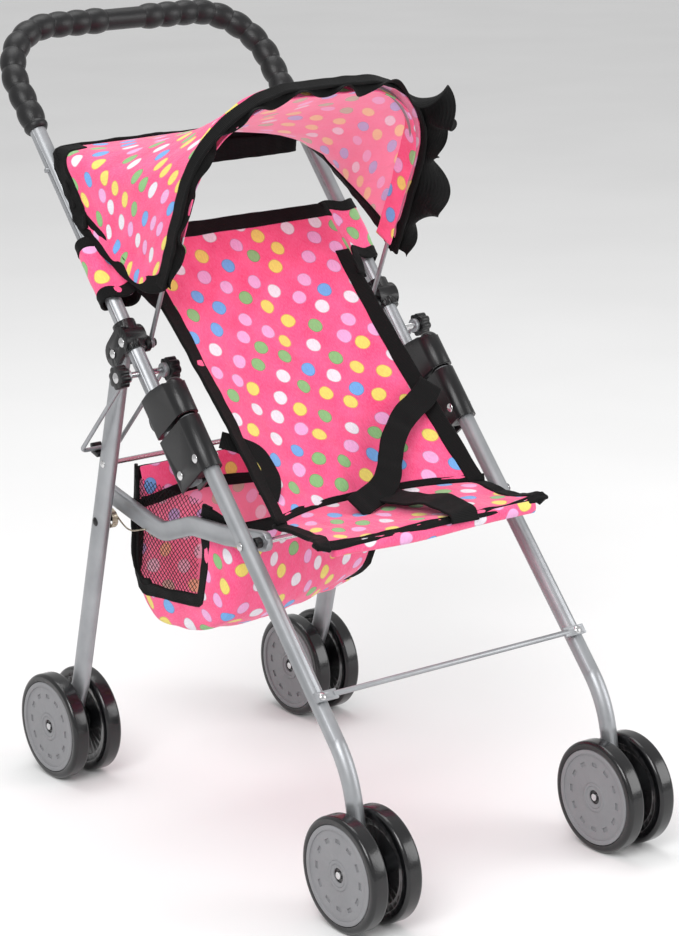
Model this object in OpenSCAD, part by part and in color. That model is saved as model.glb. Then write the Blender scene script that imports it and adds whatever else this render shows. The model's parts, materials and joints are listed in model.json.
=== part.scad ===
// Folding doll stroller. Front faces -Y, +X is the doll's left, +Z is up, millimetres.
// The origin lies on the ground, in the middle of the plan outline.

/* [Frame] */
// Distance from the centre plane to the middle of each leg
leg_x = 112.5; // [100:0.5:125]
// Diameter of the round frame tube
tube_d = 12; // [10:0.5:14]
// Wall of the round frame tube
tube_wall = 1; // [0.8:0.1:1.5]
// Slope of the push handle above the ground, in degrees
handle_slope = 49.4; // [46:0.1:52]
// Half of the length over the front wheels and the push handle
half_length = 244.5; // [244:0.1:246]
// Distance between the handle tube and the top of the front leg, centre to centre
leg_offset = 25; // [24:0.5:27]

/* [Handle] */
// Outer diameter of the handle grip
grip_d = 19.6; // [17:0.2:21]
// Diameter of the smooth middle of the grip
grip_middle_d = 16; // [15:0.2:18]
// Length of the smooth middle of the grip
grip_middle_l = 34; // [20:1:60]
// Radius of the two top corners of the handle
handle_corner = 50; // [40:1:60]
// Place of the grip's lower ends along the handle tube
grip_start = 296; // [270:1:320]

/* [Wheels] */
// Diameter of each wheel
wheel_d = 81; // [76:0.5:84]
// Width over a pair of wheels
pair_w = 41.4; // [38:0.2:44]
// Gap between the two wheels of a pair
pair_gap = 14.4; // [13.5:0.1:16]
// Diameter of the grey hub cover
cover_d = 69; // [60:1:72]
// Diameter of the axle
axle_d = 5; // [4:0.5:6]

/* [Canopy] */
// Reach of the canopy bow from its pivot to its top
bow_reach = 198; // [180:1:205]
// Lean of the canopy bow forward from upright, in degrees
bow_lean = 24; // [15:1:30]
// Diameter of the canopy wires
wire_d = 3.5; // [3:0.1:4]

/* [Soft parts] */
// Width of the fabric seat
seat_w = 184; // [170:1:185]
// Thickness of the fabric panels
cloth_t = 3; // [2:0.5:4]

/* [Hidden] */
$fn = 64;

// The doll's left is +X, its right is -X.
LEFT = 1;
RIGHT = -1;
tube_r = tube_d / 2;
wire_r = wire_d / 2;
wheel_r = wheel_d / 2;
wheel_w = (pair_w - pair_gap) / 2;
grip_r = grip_d / 2;
axle_r = axle_d / 2;
run_fit = 0.05;
rivet_r = 1.5;
pin_r = 2;

// Lower end of the handle tube's centre line, as [y, z]
foot = [-15.9, 266.3];
along = [cos(handle_slope), sin(handle_slope)];
ahead = [-sin(handle_slope), cos(handle_slope)];
// A side-view point at distance s up the handle tube and n in front of it
function on_tube(s, n = 0) = foot + s * along + n * ahead;

fold_s = 8;
fold_axis = on_tube(fold_s);
handle_top = (half_length - grip_r - foot[0]) / along[0];
bracket_s = [-2.5, 38];
bracket_half_w = 8.6;
leg_top_s = 39.5;
sleeve_s = [41, 72];
upper_s = [108, 131];
rear_pivot_s = 116.8;
rear_pivot_n = -15.8;
rear_pivot = on_tube(rear_pivot_s, rear_pivot_n);
lock_bolt_s = 90.3;
lock_pivot = on_tube(lock_bolt_s);
rear_wire_s = 262.5;
bow_pivot = [58, 352];
bow_x = 98;

front_hub = [-half_length + wheel_r, wheel_r];
rear_hub = [164, wheel_r];
front_knee = [-192.3, 105.5];
rear_knee = [147, 76];
cross_rod_z = 145.3;
link_pivot = [-77.9, 235.8];
link_x = 97.9;
link_t = 5.4;
link_h = 14;
link_end = [115.9, 227.6];
spring_axis = [109.8, 211.6];
leg_oval = [17, 10];
wire_half_w = 15.6;
loop_reach = 94;
loop_angle = -46;

// ---- general shapes ----

// Puts a child drawn in the side view, [y, z], at a place across the width
module side_view(x = 0) translate([x, 0, 0]) rotate([90, 0, 90]) children();

// A plate drawn in the side view, with its thickness centred on x
module side_plate(x, t) side_view(x - t / 2) linear_extrude(t) children();

// Local frame of the handle tube: +Z up the tube, +Y behind it
module on_handle(x = 0) translate([x, foot[0], foot[1]]) rotate([handle_slope - 90, 0, 0]) children();

// A round bar across the width
module cross_bar(p, r, x1, x2) translate([x1, p[0], p[1]]) rotate([0, 90, 0]) cylinder(r = r, h = x2 - x1);

// Points of a half circle about c that starts square to the direction h
function round_end(c, h, r) = [for (k = [0 : 10]) c + r * [cos(h + 90 - k * 18), sin(h + 90 - k * 18)]];

// Points r to one side of the joints of a path
function beside(p, r) = [for (i = [1 : 1 : len(p) - 2])
    let (h = heading(p[i - 1], p[i]) + turn(p, i) / 2) p[i] + r / cos(turn(p, i) / 2) * [-sin(h), cos(h)]];

function backward(p) = [for (i = [len(p) - 1 : -1 : 0]) p[i]];

// A flat strip with round ends through a list of points
module strip(p, r) {
    last = len(p) - 1;
    polygon(concat(beside(p, r), round_end(p[last], heading(p[last - 1], p[last]), r),
        beside(backward(p), r), round_end(p[0], heading(p[1], p[0]), r)));
}

function heading(a, b) = atan2(b[1] - a[1], b[0] - a[0]);
function turn(p, i) = let (t = heading(p[i], p[i + 1]) - heading(p[i - 1], p[i]))
    t > 180 ? t - 360 : t < -180 ? t + 360 : t;
function trim(p, i, r) = i == 0 || i == len(p) - 1 ? 0 : r * tan(abs(turn(p, i)) / 2);

// A bar of the child's section through points in a plane, with bends of radius r
module bent_bar(p, r) {
    for (i = [0 : len(p) - 2]) {
        a = heading(p[i], p[i + 1]);
        from = trim(p, i, r);
        long = norm(p[i + 1] - p[i]) - from - trim(p, i + 1, r);
        translate(p[i]) rotate(a) translate([from, 0, 0]) rotate([90, 0, 90]) linear_extrude(long) children();
    }
    if (len(p) > 2) for (i = [1 : len(p) - 2]) {
        a = heading(p[i - 1], p[i]);
        t = turn(p, i);
        side = t > 0 ? 1 : -1;
        start = p[i] - trim(p, i, r) * [cos(a), sin(a)];
        centre = start + side * r * [-sin(a), cos(a)];
        translate(centre) rotate(side > 0 ? a - 90 : a + 90 + t)
            rotate_extrude(angle = abs(t), $fn = 96) translate([r, 0]) children();
    }
}

// A round rod through three points in the side view. Its straight ends run a little into the bend
// and are thinner by a hair, so that the three pieces join into one solid.
module bent_rod(p, bend_r, rod_r) {
    lap = 0.15 * sqrt(bend_r);
    hair = 0.02;
    cut = trim(p, 1, bend_r);
    for (end = [[p[0], p[1]], [p[2], p[1]]])
        translate(end[0]) rotate(heading(end[0], end[1])) rotate([0, 90, 0])
            cylinder(r = rod_r - hair, h = norm(end[1] - end[0]) - cut + lap);
    a = heading(p[0], p[1]);
    t = turn(p, 1);
    start = p[1] - cut * [cos(a), sin(a)];
    translate(start + bend_r * [-sin(a), cos(a)]) rotate(a - 90)
        rotate_extrude(angle = t, $fn = 96) translate([bend_r, 0]) circle(rod_r);
}

// A domed rivet head standing on z = 0
module dome(r, h) {
    ball = (r * r + h * h) / (2 * h);
    rotate_extrude() intersection() {
        translate([0, h - ball]) circle(ball, $fn = 96);
        square([r, h]);
    }
}

// A rivet along X, centred on x, with a domed head at each end
module rivet(x, p, shank_r, grip, head_r, head_h = 1.4) {
    cross_bar(p, shank_r, x - grip / 2, x + grip / 2);
    for (s = [-1, 1]) translate([x + s * grip / 2, p[0], p[1]]) rotate([0, s * 90, 0]) dome(head_r, head_h);
}

// ---- front frame ----

module front_leg(side) {
    x = side * leg_x;
    hole = rod_seat(0);
    color("lightslategray") difference() {
        union() {
            side_view(x) bent_rod([on_tube(leg_top_s, leg_offset), front_knee, front_hub], 80, tube_r);
            cross_bar(front_hub, 7, x - 6, x + 6);
        }
        translate([x, front_knee[0], front_knee[1]]) rotate([-rod_tilt(), 0, 0])
            translate([0, 0, 30]) cylinder(r = tube_r - tube_wall, h = 300);
        cross_bar(front_hub, axle_r + run_fit, x - 7, x + 7);
        cross_bar(link_pivot, pin_r, x - 8, x + 8);
        cross_bar(on_tube(fold_s, leg_offset), pin_r, x - 8, x + 8);
        translate([x, hole[0], hole[1]]) rotate([90 - rod_tilt(), 0, 0])
            cylinder(r = rivet_r, h = 20, center = true);
    }
}

// Slope of the straight part of the front leg, and the seat of the cross rod on it
function leg_dir() = let (d = on_tube(leg_top_s, leg_offset) - front_knee) d / norm(d);
function rod_tilt() = 90 - atan2(leg_dir()[1], leg_dir()[0]);
function rod_seat(n) = front_knee + (cross_rod_z - front_knee[1]) / leg_dir()[1] * leg_dir()
    + n * [-leg_dir()[1], leg_dir()[0]];

module front_leg_left() front_leg(LEFT);
module front_leg_right() front_leg(RIGHT);

// Outline of the hinge bracket and the lock sleeve, across the tube
module bracket_outline(r, front) {
    translate([-r, -front]) square([2 * r, front + r - 3]);
    translate([0, -front]) circle(r);
    for (s = [-1, 1]) translate([s * (r - 3), r - 3]) circle(3);
    translate([-r + 3, 0]) square([2 * r - 6, r]);
}

module hinge_bracket(side) {
    x = side * leg_x;
    color("#1c1c1e") difference() {
        on_handle(x) translate([0, 0, bracket_s[0]])
            linear_extrude(bracket_s[1] - bracket_s[0]) bracket_outline(bracket_half_w, leg_offset);
        side_view(x) bent_bar([on_tube(leg_top_s, leg_offset) + 20 * leg_dir(), front_knee], 1) circle(tube_r);
        on_handle(x) translate([-tube_r - 0.35, -14, -10]) cube([tube_d + 0.7, 40, 60]);
        cross_bar(fold_axis, pin_r, x - 12, x + 12);
        cross_bar(on_tube(fold_s, leg_offset), pin_r, x - 12, x + 12);
    }
}

module hinge_bracket_left() hinge_bracket(LEFT);
module hinge_bracket_right() hinge_bracket(RIGHT);

module hinge_pins() color("silver")
    for (s = [-1, 1]) rivet(s * leg_x, fold_axis, pin_r, 2 * bracket_half_w, 3.6);

module leg_rivets() color("silver")
    for (s = [-1, 1]) rivet(s * leg_x, on_tube(fold_s, leg_offset), pin_r, 2 * bracket_half_w, 3.6);

// Round rod with flattened ends that lie on the front of the legs
module front_cross_rod() {
    p = rod_seat(tube_r + 1);
    color("lightslategray") {
        cross_bar(p, 2, -leg_x + 9, leg_x - 9);
        for (s = [-1, 1]) translate([s * leg_x, p[0], p[1]]) rotate([90 - rod_tilt(), 0, 0]) difference() {
            translate([-s * 3, 0, 0]) cube([18, 7, 2], center = true);
            cylinder(r = rivet_r, h = 8, center = true);
        }
    }
}

module cross_rod_rivets() {
    p = rod_seat(0);
    color("silver") for (s = [-1, 1]) translate([s * leg_x, p[0], p[1]]) rotate([90 - rod_tilt(), 0, 0]) {
        translate([0, 0, -tube_r]) cylinder(r = rivet_r, h = 2 * tube_r + 2);
        translate([0, 0, tube_r + 2]) dome(3, 1.3);
    }
}

// Rod that carries the seat and is the front pivot of both side links
module seat_cross_bar() color("silver") {
    cross_bar(link_pivot, pin_r, -leg_x - tube_r, leg_x + tube_r);
    for (s = [-1, 1]) translate([s * (leg_x + tube_r), link_pivot[0], link_pivot[1]])
        rotate([0, s * 90, 0]) dome(3.4, 1.4);
}

module link_spacers() color("#1c1c1e") for (s = [-1, 1]) difference() {
    cross_bar(link_pivot, 4, s * leg_x - s * tube_r - (s > 0 ? 5.2 : 0), s * leg_x - s * tube_r + (s > 0 ? 0 : 5.2));
    cross_bar(link_pivot, pin_r, -150, 150);
}

seat_top = 245.5;
seat_front = -141;
seat_rear = -74;
// The crotch strap lies in a shallow recess, so that the seat stays flat for a doll
strap_at = [6, seat_front + 4];
strap_size = [34, 52];
module seat_base() color("hotpink") difference() {
    translate([-seat_w / 2, seat_front, seat_top - 5]) cube([seat_w, seat_rear - seat_front, 5]);
    translate([strap_at[0] - 0.5, strap_at[1] - 0.5, seat_top - 2]) cube([strap_size[0] + 1, strap_size[1] + 1, 3]);
}

module seat_front_roll() color("hotpink")
    cross_bar([seat_front - 3, seat_top - 7.3], 3.5, -seat_w / 2 + 4, seat_w / 2 - 4);

module crotch_strap() color("#1c1c1e")
    translate([strap_at[0], strap_at[1], seat_top - 1.9]) cube([strap_size[0], strap_size[1], 1.6]);

// ---- push handle ----

function handle_path() = [[-leg_x, 0], [-leg_x, handle_top], [leg_x, handle_top], [leg_x, 0]];

module push_handle_tube() color("lightslategray") difference() {
    on_handle() rotate([90, 0, 0]) bent_bar(handle_path(), handle_corner) circle(tube_r);
    on_handle() rotate([90, 0, 0]) bent_bar([[-leg_x, -1], [-leg_x, handle_top],
        [leg_x, handle_top], [leg_x, -1]], handle_corner) circle(tube_r - tube_wall);
    for (s = [-1, 1]) {
        cross_bar(fold_axis, pin_r + run_fit, s * leg_x - 8, s * leg_x + 8);
        cross_bar(lock_pivot, 2.2, s * leg_x - 8, s * leg_x + 8);
        cross_bar(on_tube(rear_pivot_s), pin_r, s * leg_x - 8, s * leg_x + 8);
        cross_bar(on_tube(rear_wire_s), wire_r, s * leg_x - 8, s * leg_x + 8);
    }
}

// Rubber sleeve over the whole U, thinner in the middle
module handle_grip() color("#1c1c1e") difference() {
    on_handle() rotate([90, 0, 0]) union() {
        for (s = [-1, 1]) bent_bar([[s * leg_x, grip_start], [s * leg_x, handle_top],
            [s * grip_middle_l / 2, handle_top]], handle_corner) circle(grip_r);
        bent_bar([[-grip_middle_l / 2, handle_top], [grip_middle_l / 2, handle_top]], 1) circle(grip_middle_d / 2);
    }
    on_handle() rotate([90, 0, 0]) bent_bar([[-leg_x, grip_start - 5], [-leg_x, handle_top],
        [leg_x, handle_top], [leg_x, grip_start - 5]], handle_corner) circle(tube_r);
}

// Moulded collar with two ears for the rear leg
module upper_bracket(side) {
    x = side * leg_x;
    ear_r = 9.5;
    color("#1c1c1e") difference() {
        union() {
            on_handle(x) translate([0, 0, upper_s[0]]) cylinder(r = 8.4, h = upper_s[1] - upper_s[0]);
            side_plate(x, 16.8) strip([on_tube(rear_pivot_s + 2), rear_pivot], ear_r);
        }
        on_handle(x) translate([0, 0, 60]) cylinder(r = tube_r, h = 120);
        on_handle(x) translate([-5.3, 6.9, 80]) cube([10.6, 30, 70]);
        cross_bar(rear_pivot, pin_r, x - 12, x + 12);
        cross_bar(on_tube(rear_pivot_s), pin_r, x - 12, x + 12);
    }
}

module upper_bracket_left() upper_bracket(LEFT);
module upper_bracket_right() upper_bracket(RIGHT);

// The canopy clip covers the inner end of each of these rivets
module bracket_rivets() color("silver") for (s = [-1, 1]) {
    cross_bar(on_tube(rear_pivot_s), pin_r, s * leg_x - 8.4, s * leg_x + 8.4);
    translate([s * (leg_x + 8.4), on_tube(rear_pivot_s)[0], on_tube(rear_pivot_s)[1]])
        rotate([0, s * 90, 0]) dome(3.6, 1.4);
}

module rear_leg_pins() color("silver")
    for (s = [-1, 1]) rivet(s * leg_x, rear_pivot, pin_r, 16.8, 3.6);

// Small clip on the inner face of the upper bracket, with the pin of the canopy bow
module canopy_clip(side) color("#1c1c1e") {
    for (part = [[6, 104.1, 100.3], [1.5, 100.3, 95.4], [3, 95.4, 94.2]])
        cross_bar(bow_pivot, part[0], side > 0 ? part[2] : -part[1], side > 0 ? part[1] : -part[2]);
}

module canopy_clip_left() canopy_clip(LEFT);
module canopy_clip_right() canopy_clip(RIGHT);

module canopy_rear_wire() color("lightslategray")
    cross_bar(on_tube(rear_wire_s), wire_r, -leg_x - 8, leg_x + 8);

wing_s = [152, 205];
module seat_back() color("hotpink") difference() {
    union() {
        side_plate(0, seat_w) strip([on_tube(-48, 26), on_tube(194, 10.5)], cloth_t / 2);
        for (s = [-1, 1]) on_handle(s * leg_x) {
            translate([0, 0, wing_s[0]]) cylinder(r = tube_r + 2.2, h = wing_s[1] - wing_s[0]);
            translate([s > 0 ? -22 : 0, -12.5, wing_s[0]]) cube([22, 5.9, wing_s[1] - wing_s[0]]);
        }
    }
    for (s = [-1, 1]) on_handle(s * leg_x) cylinder(r = tube_r + 0.3, h = 300);
}

// Two webbing straps that lie on the seat back and come forward at the waist
module waist_straps() color("#1c1c1e") for (s = [-1, 1])
    side_plate(s * 70, 16) strip([on_tube(-20, 27.4), on_tube(90, 20.4)], 0.8);

module lock_bolts() color("silver") for (s = [-1, 1]) {
    cross_bar(lock_pivot, 2.2, s * leg_x - 25, s * leg_x + 25);
    translate([s * (leg_x + 25), lock_pivot[0], lock_pivot[1]]) rotate([0, s * 90, 0]) dome(3.8, 1);
}

// Lobed knob, drawn in the side view
module lobed(r) {
    circle(r - 1.2);
    for (i = [0 : 7]) rotate(i * 45) translate([r - 2.6, 0]) circle(2.6);
}

module lock_knobs() color("#1c1c1e") for (s = [-1, 1]) for (x = [leg_x - 21.2, leg_x + 21.2]) difference() {
    side_plate(s * x, 7.4) translate(lock_pivot) lobed(8.6);
    cross_bar(lock_pivot, 2.2, s * x - 8, s * x + 8);
}

// ---- folding locks ----

// Sleeve on the handle tube that slides down over the top of the front leg
module lock_sleeve(side) {
    x = side * leg_x;
    long = sleeve_s[1] - sleeve_s[0];
    color("#1c1c1e") difference() {
        union() {
            on_handle(x) translate([0, 0, sleeve_s[0]]) intersection() {
                linear_extrude(long) bracket_outline(8.8, leg_offset);
                rotate([90, 0, 90]) linear_extrude(40, center = true)
                    polygon([[-40, 0], [12, 0], [12, long - 8], [6, long], [-8, long], [-26, long - 4], [-40, long - 12]]);
            }
            on_handle(x) translate([0, 4, sleeve_s[0] + 13]) rotate([0, 90, 0]) cylinder(r = 8, h = 13, center = true);
            on_handle(x) translate([0, -leg_offset - 1.5, sleeve_s[0] + 22]) sphere(7.3);
        }
        on_handle(x) cylinder(r = tube_r + 0.08, h = 150);
        on_handle(x) translate([0, -leg_offset, 0]) cylinder(r = tube_r + 0.5, h = sleeve_s[0] + 11);
    }
}

module lock_sleeve_left() lock_sleeve(LEFT);
module lock_sleeve_right() lock_sleeve(RIGHT);

// Wire stirrup that hangs from the lock bolt and closes behind the rear leg
module lock_wires() color("lightslategray") for (s = [-1, 1]) {
    translate([s * leg_x, lock_pivot[0], lock_pivot[1]]) rotate([loop_angle - 90, 0, 0]) rotate([90, 0, 0])
        bent_bar([[-wire_half_w, 4], [-wire_half_w, loop_reach], [wire_half_w, loop_reach], [wire_half_w, 4]], 5)
            circle(1.6);
    for (e = [-1, 1]) difference() {
        side_plate(s * leg_x + e * wire_half_w, 3.2) translate(lock_pivot) circle(5);
        cross_bar(lock_pivot, 2.2 + run_fit, s * leg_x - 30, s * leg_x + 30);
    }
}

// ---- rear frame ----

module rear_leg(side) {
    x = side * leg_x;
    color("lightslategray") difference() {
        union() {
            side_plate(x, leg_oval[1]) strip([rear_pivot, rear_knee, rear_hub], leg_oval[0] / 2 - 2.5);
            side_plate(x, leg_oval[1] - 4) strip([rear_pivot, rear_knee, rear_hub], leg_oval[0] / 2);
        }
        cross_bar(rear_pivot, pin_r + run_fit, x - 7, x + 7);
        cross_bar(rear_hub, axle_r + run_fit, x - 7, x + 7);
        cross_bar(rear_rod, pin_r, x - 7, x + 7);
        cross_bar(spring_axis, pin_r, x - 7, x + 7);
    }
}

rear_dir = (rear_knee - rear_pivot) / norm(rear_knee - rear_pivot);
rear_ahead = [rear_dir[1], -rear_dir[0]];
rear_rod = rear_pivot + 90 * rear_dir;

module rear_leg_left() rear_leg(LEFT);
module rear_leg_right() rear_leg(RIGHT);

// Rod between the rear legs that carries the back of the basket
module rear_cross_rod() color("silver") {
    cross_bar(rear_rod, pin_r, -leg_x - 5, leg_x + 5);
    for (s = [-1, 1]) translate([s * (leg_x + 5), rear_rod[0], rear_rod[1]]) rotate([0, s * 90, 0]) dome(3, 1.2);
}

module spring_pins() color("#2a2a2c") for (s = [-1, 1]) {
    cross_bar(spring_axis, pin_r, s * leg_x - (s > 0 ? 11.6 : 5), s * leg_x + (s > 0 ? 5 : 11.6));
    translate([s * (leg_x + 5), spring_axis[0], spring_axis[1]]) rotate([0, s * 90, 0]) dome(3.4, 1.4);
    translate([s * (leg_x - 11.2), spring_axis[0], spring_axis[1]]) rotate([0, 90, 0])
        cylinder(r = 3.4, h = 0.8, center = true);
}

// Close-wound coil, with one arm up the leg and one towards the link
module torsion_spring(side) {
    coil_r = 6.2;
    wire = 0.65;
    near = leg_x - 5.6;
    far = near - 5;
    color("#8f8064") {
        difference() {
            cross_bar(spring_axis, coil_r + wire, min(side * near, side * far), max(side * near, side * far));
            cross_bar(spring_axis, coil_r - wire, -150, 150);
        }
        side_view(side * (near - 1.3)) bent_bar([spring_axis + [coil_r, 0], spring_axis + [2.5, 22]], 1) circle(wire);
        side_view(side * (far + 1.3)) bent_bar([spring_axis + [0, -coil_r], [66, 212]], 1) circle(wire);
    }
}

module torsion_spring_left() torsion_spring(LEFT);
module torsion_spring_right() torsion_spring(RIGHT);

function behind_leg(n, d) = rear_pivot + d * rear_dir - n * rear_ahead;

// Small hook behind each rear leg that holds the wire stirrup
module wire_catches() {
    bar = lock_pivot + loop_reach * [cos(loop_angle), sin(loop_angle)];
    down = (bar - rear_pivot) * rear_dir + 3.6;
    color("#1c1c1e") for (s = [-1, 1]) side_plate(s * leg_x, 8)
        strip([behind_leg(leg_oval[0] / 2 + 1.65, down), behind_leg(17, down), behind_leg(18.8, down - 4)], 1.6);
}

basket_half = 92;
// Side outline of the basket, back top first
function basket_side() = [[86, 256], [90, 196], [84, 152], [62, 138], [20, 144], [-18, 166], [-34, 236]];
module basket_shape(inset) {
    b = basket_side();
    hull() for (p = b) translate([0, p[0], p[1] + inset])
        cube([2 * (basket_half - inset), 1, 0.5], center = true);
}

// Open bag of cloth with one rounded bottom
module basket() color("hotpink") difference() {
    basket_shape(0);
    hull() for (p = basket_side()) translate([0, 27 + (p[0] - 27) * 0.93, p[1] + (p[1] > 230 ? 20 : 3)])
        cube([2 * (basket_half - cloth_t), 1, 0.5], center = true);
}

// ---- side links ----

module side_link(side) {
    path = [link_pivot, [-31.9, 229.6], [11.1, 227.3], [46.7, 214.4], [63.7, 216.6], link_end, [126, 231]];
    color("lightslategray") difference() {
        side_plate(side * link_x, link_t) strip(path, link_h / 2);
        cross_bar(link_pivot, pin_r + run_fit, -150, 150);
        cross_bar([63.7, 216.6], 1.2, -150, 150);
    }
}

module side_link_left() side_link(LEFT);
module side_link_right() side_link(RIGHT);

module link_caps() color("#1c1c1e") for (s = [-1, 1])
    translate([s * (link_x - link_t / 2), link_end[0], link_end[1]]) rotate([0, -s * 90, 0]) dome(6.5, 1.9);

// ---- canopy ----

// Local frame of the bow: +Z from the pivot to the top of the bow
module on_bow() translate([0, bow_pivot[0], bow_pivot[1]]) rotate([bow_lean, 0, 0]) children();

module canopy_bow() color("lightslategray") {
    on_bow() rotate([90, 0, 0])
        bent_bar([[-bow_x, 3], [-bow_x, bow_reach], [bow_x, bow_reach], [bow_x, 3]], 80) circle(wire_r);
    for (s = [-1, 1]) difference() {
        side_plate(s * bow_x, wire_d) translate(bow_pivot) circle(4);
        cross_bar(bow_pivot, 1.5 + run_fit, -150, 150);
    }
}

// Front outline of the canopy in the plane of the bow
module arch(grow, low) {
    r = 80 + grow;
    intersection() {
        union() {
            translate([-bow_x - grow, 0]) square([2 * (bow_x + grow), bow_reach - 80]);
            for (s = [-1, 1]) translate([s * (bow_x - 80), bow_reach - 80]) circle(r, $fn = 48);
            translate([-bow_x + 80, bow_reach - 80]) square([2 * (bow_x - 80), r]);
        }
        translate([-200, low]) square([400, 400]);
    }
}

module arch_slab(grow, low, ahead_by, t) on_bow() translate([0, -ahead_by, 0]) rotate([90, 0, 0])
    linear_extrude(t) arch(grow, low);

// The cloth between the bow and the rear wire, open below and in front
module canopy_cover() color("hotpink") difference() {
    hull() {
        arch_slab(5.2, 45, -1, 5);
        translate([0, 143, 464]) cube([210, 4, 16], center = true);
    }
    hull() {
        arch_slab(3.8, 20, -1.5, 7);
        translate([0, 136, 442]) cube([205, 9, 52], center = true);
    }
}

// Gathered black edge in front of the bow
module canopy_frill() color("#1c1c1e") difference() {
    arch_slab(8, 62, 4.5, 16);
    arch_slab(3.6, 30, 4, 17);
}

// ---- wheels ----

// One black wheel: its outer side faces +Z and carries the hub cover
module wheel() rotate_extrude($fn = 128) difference() {
    union() {
        translate([axle_r, 0]) square([wheel_r - axle_r - 3, wheel_w]);
        translate([axle_r, 3]) square([wheel_r - axle_r, wheel_w - 6]);
        for (z = [3, wheel_w - 3]) translate([wheel_r - 3, z]) circle(3, $fn = 48);
    }
    translate([0, wheel_w - 2.4]) square([cover_d / 2 + 0.3, 5]);
    translate([9, -1]) square([19, 5]);
    translate([28, -1]) square([5, 3.2]);
}

// Grey disc with a raised rim, a ring of slots and a sunken centre
module hub_cover() difference() {
    rotate_extrude($fn = 128) difference() {
        union() {
            translate([axle_r + 2.6, 0]) square([cover_d / 2 - axle_r - 2.6, 1.6]);
            translate([cover_d / 2 - 3.4, 0]) square([3.4, 2.8]);
            translate([8, 0]) square([2.6, 2.2]);
        }
    }
    for (i = [0 : 11]) rotate(i * 30) translate([24, 0, 1.5]) cube([3, 5.2, 2], center = true);
}

// Puts the child on the outer side of each wheel of a pair
module both_wheels(hub, side) for (o = [-1, 1])
    translate([side * leg_x + o * pair_gap / 2, hub[0], hub[1]]) rotate([0, o * 90, 0]) children();

module wheel_pair(hub, side) color("#17171a") both_wheels(hub, side) wheel();
module cover_pair(hub, side) color("#8d8f94") both_wheels(hub, side)
    translate([0, 0, wheel_w - 2.4]) hub_cover();
module wheel_axle(hub, side) color("silver")
    cross_bar(hub, axle_r, side * leg_x - pair_w / 2 + 0.6, side * leg_x + pair_w / 2 - 0.6);

module front_left_wheels() wheel_pair(front_hub, LEFT);
module front_left_hub_covers() cover_pair(front_hub, LEFT);
module front_left_axle() wheel_axle(front_hub, LEFT);
module front_right_wheels() wheel_pair(front_hub, RIGHT);
module front_right_hub_covers() cover_pair(front_hub, RIGHT);
module front_right_axle() wheel_axle(front_hub, RIGHT);
module rear_left_wheels() wheel_pair(rear_hub, LEFT);
module rear_left_hub_covers() cover_pair(rear_hub, LEFT);
module rear_left_axle() wheel_axle(rear_hub, LEFT);
module rear_right_wheels() wheel_pair(rear_hub, RIGHT);
module rear_right_hub_covers() cover_pair(rear_hub, RIGHT);
module rear_right_axle() wheel_axle(rear_hub, RIGHT);

front_leg_left();
front_leg_right();
hinge_bracket_left();
hinge_bracket_right();
hinge_pins();
leg_rivets();
front_cross_rod();
cross_rod_rivets();
seat_cross_bar();
link_spacers();
seat_base();
seat_front_roll();
crotch_strap();
push_handle_tube();
handle_grip();
upper_bracket_left();
upper_bracket_right();
bracket_rivets();
rear_leg_pins();
canopy_clip_left();
canopy_clip_right();
canopy_rear_wire();
seat_back();
waist_straps();
lock_bolts();
lock_knobs();
lock_sleeve_left();
lock_sleeve_right();
lock_wires();
rear_leg_left();
rear_leg_right();
rear_cross_rod();
spring_pins();
torsion_spring_left();
torsion_spring_right();
wire_catches();
basket();
side_link_left();
side_link_right();
link_caps();
canopy_bow();
canopy_cover();
canopy_frill();
front_left_wheels();
front_left_hub_covers();
front_left_axle();
front_right_wheels();
front_right_hub_covers();
front_right_axle();
rear_left_wheels();
rear_left_hub_covers();
rear_left_axle();
rear_right_wheels();
rear_right_hub_covers();
rear_right_axle();
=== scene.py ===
import json
import math

import bmesh
import bpy
import numpy as np
from mathutils import Matrix, Vector, noise

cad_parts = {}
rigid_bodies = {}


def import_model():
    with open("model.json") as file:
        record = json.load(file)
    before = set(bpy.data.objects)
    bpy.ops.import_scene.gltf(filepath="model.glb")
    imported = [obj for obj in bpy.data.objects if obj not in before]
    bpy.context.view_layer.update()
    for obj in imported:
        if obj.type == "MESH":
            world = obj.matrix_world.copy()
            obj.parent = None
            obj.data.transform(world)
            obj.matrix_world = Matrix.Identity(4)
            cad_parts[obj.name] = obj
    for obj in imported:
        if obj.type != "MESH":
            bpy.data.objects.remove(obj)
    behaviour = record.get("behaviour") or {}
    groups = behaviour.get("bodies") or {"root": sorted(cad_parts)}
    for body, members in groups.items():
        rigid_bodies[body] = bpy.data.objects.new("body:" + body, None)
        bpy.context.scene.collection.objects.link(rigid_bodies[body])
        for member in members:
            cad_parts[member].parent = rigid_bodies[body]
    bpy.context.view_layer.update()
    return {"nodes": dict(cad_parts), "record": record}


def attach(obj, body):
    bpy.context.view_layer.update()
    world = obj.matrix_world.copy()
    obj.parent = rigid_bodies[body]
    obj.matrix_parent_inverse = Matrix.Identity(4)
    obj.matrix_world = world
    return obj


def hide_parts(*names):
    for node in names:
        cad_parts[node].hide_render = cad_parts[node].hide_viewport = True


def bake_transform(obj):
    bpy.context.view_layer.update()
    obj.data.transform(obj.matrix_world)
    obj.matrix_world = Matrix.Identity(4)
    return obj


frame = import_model()
NODES = frame["nodes"]
MM = 0.001
LEFT, RIGHT = 1, -1
SIDES = ((LEFT, "left"), (RIGHT, "right"))

# ---- the frame's main lines, in millimetres: x across, y back, z up ----

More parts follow.
